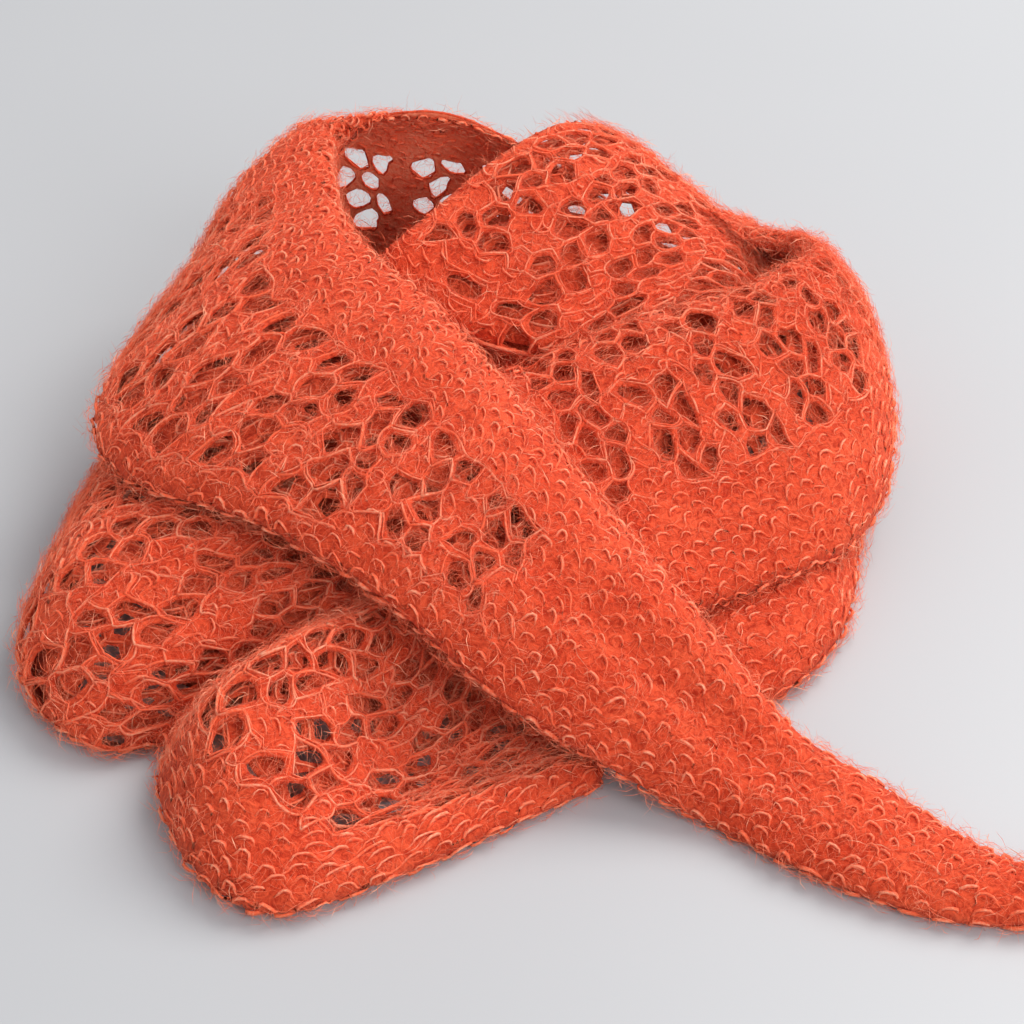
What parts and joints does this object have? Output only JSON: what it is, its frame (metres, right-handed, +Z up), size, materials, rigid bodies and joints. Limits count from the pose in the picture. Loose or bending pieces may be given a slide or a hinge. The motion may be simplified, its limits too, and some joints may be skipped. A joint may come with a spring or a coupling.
{
  "type": "knitted mohair lace shawl, heaped",
  "caption": "Lace-knit mohair shawl wound into a loose ring-shaped heap, with plain borders and one narrow end trailing over the table.",
  "frame": {"origin": "on the table under the middle of the shawl's footprint", "axes": "+Z up from the table, +X towards the trailing end, +Y away from the viewer of the heap's front"},
  "size_m": [0.324, 0.2982, 0.0811],
  "materials": {
    "mohair_lace": "fuzzy brushed mohair, open lace knit",
    "mohair_garter": "fuzzy brushed mohair, plain garter knit",
    "mohair_inner": "fuzzy brushed mohair, layers in shade"
  },
  "bodies": {
    "root": {"left_loop": "mohair_lace", "under_fold": "mohair_garter", "back_wall": "mohair_lace", "crown": "mohair_lace", "right_band": "mohair_lace", "front_band": "mohair_lace", "trailing_end": "mohair_garter", "hidden_layers": "mohair_inner"}
  },
  "joints": []
}
